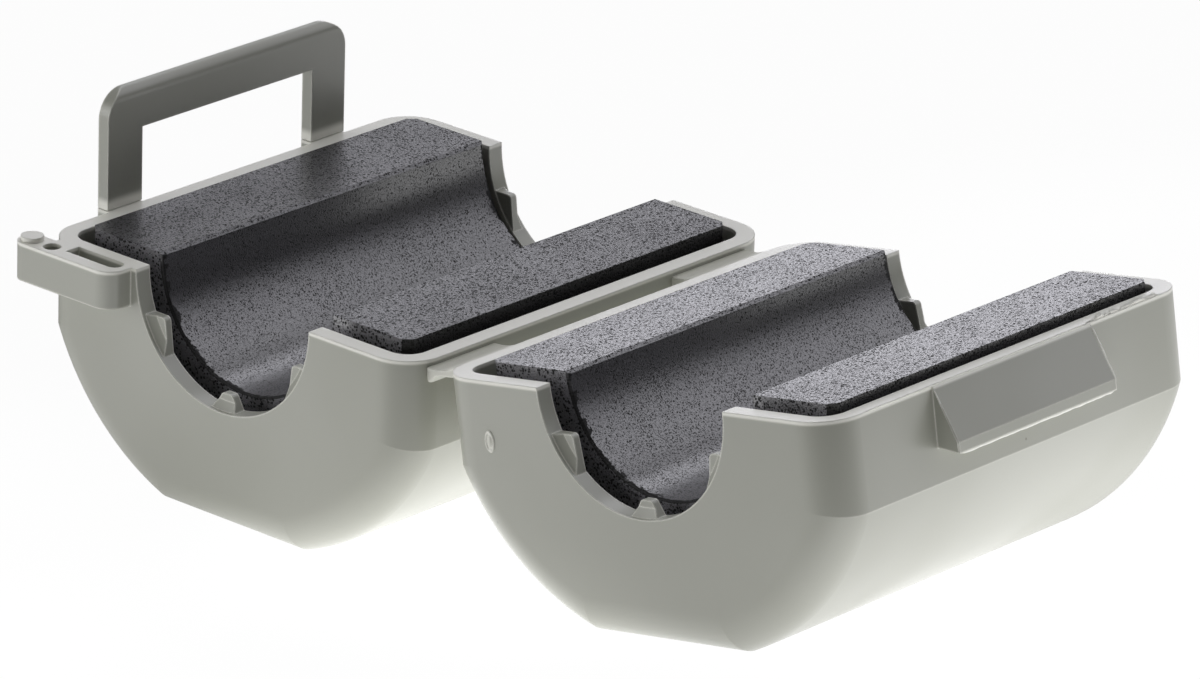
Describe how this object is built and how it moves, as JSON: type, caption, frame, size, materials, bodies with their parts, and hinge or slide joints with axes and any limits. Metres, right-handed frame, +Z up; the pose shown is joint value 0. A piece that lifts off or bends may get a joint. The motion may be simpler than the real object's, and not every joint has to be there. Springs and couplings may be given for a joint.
{
  "type": "clip-on ferrite bead",
  "caption": "Clip-on split ferrite suppressor for a round cable, lying open on its living hinge, with a hoop latch, a wedge catch and a tie lug.",
  "frame": {"origin": "on the table, below the middle of the open bead's outline", "axes": "+X from the half with the hoop towards the half with the wedge catch, +Y along the cable away from the tie lug, +Z up"},
  "size_m": [0.0648, 0.0338, 0.024],
  "materials": {
    "nylon": "satin moulded, grey-green",
    "ferrite": "matte sintered ceramic, dark violet-grey"
  },
  "bodies": {
    "base": {"base_shell": "nylon", "base_core": "ferrite", "hinge_web_front": "nylon", "hinge_web_rear": "nylon"},
    "lid": {"lid_shell": "nylon", "lid_core": "ferrite"},
    "hoop": {"latch_hoop": "nylon"}
  },
  "joints": [
    {"name": "lid_fold", "type": "hinge", "parent": "base", "child": "lid", "pos_m": [-0.0004, 0, 0.01418], "axis": [0, -1, 0], "range_deg": [-20, 169.7], "deforming": ["hinge_web_front", "hinge_web_rear"]},
    {"name": "hoop_flex", "type": "hinge", "parent": "base", "child": "hoop", "pos_m": [-0.03227, 0, 0.01663], "axis": [0, -1, 0], "range_deg": [0, 20], "stiffness_Nm_per_rad": 0.1}
  ]
}
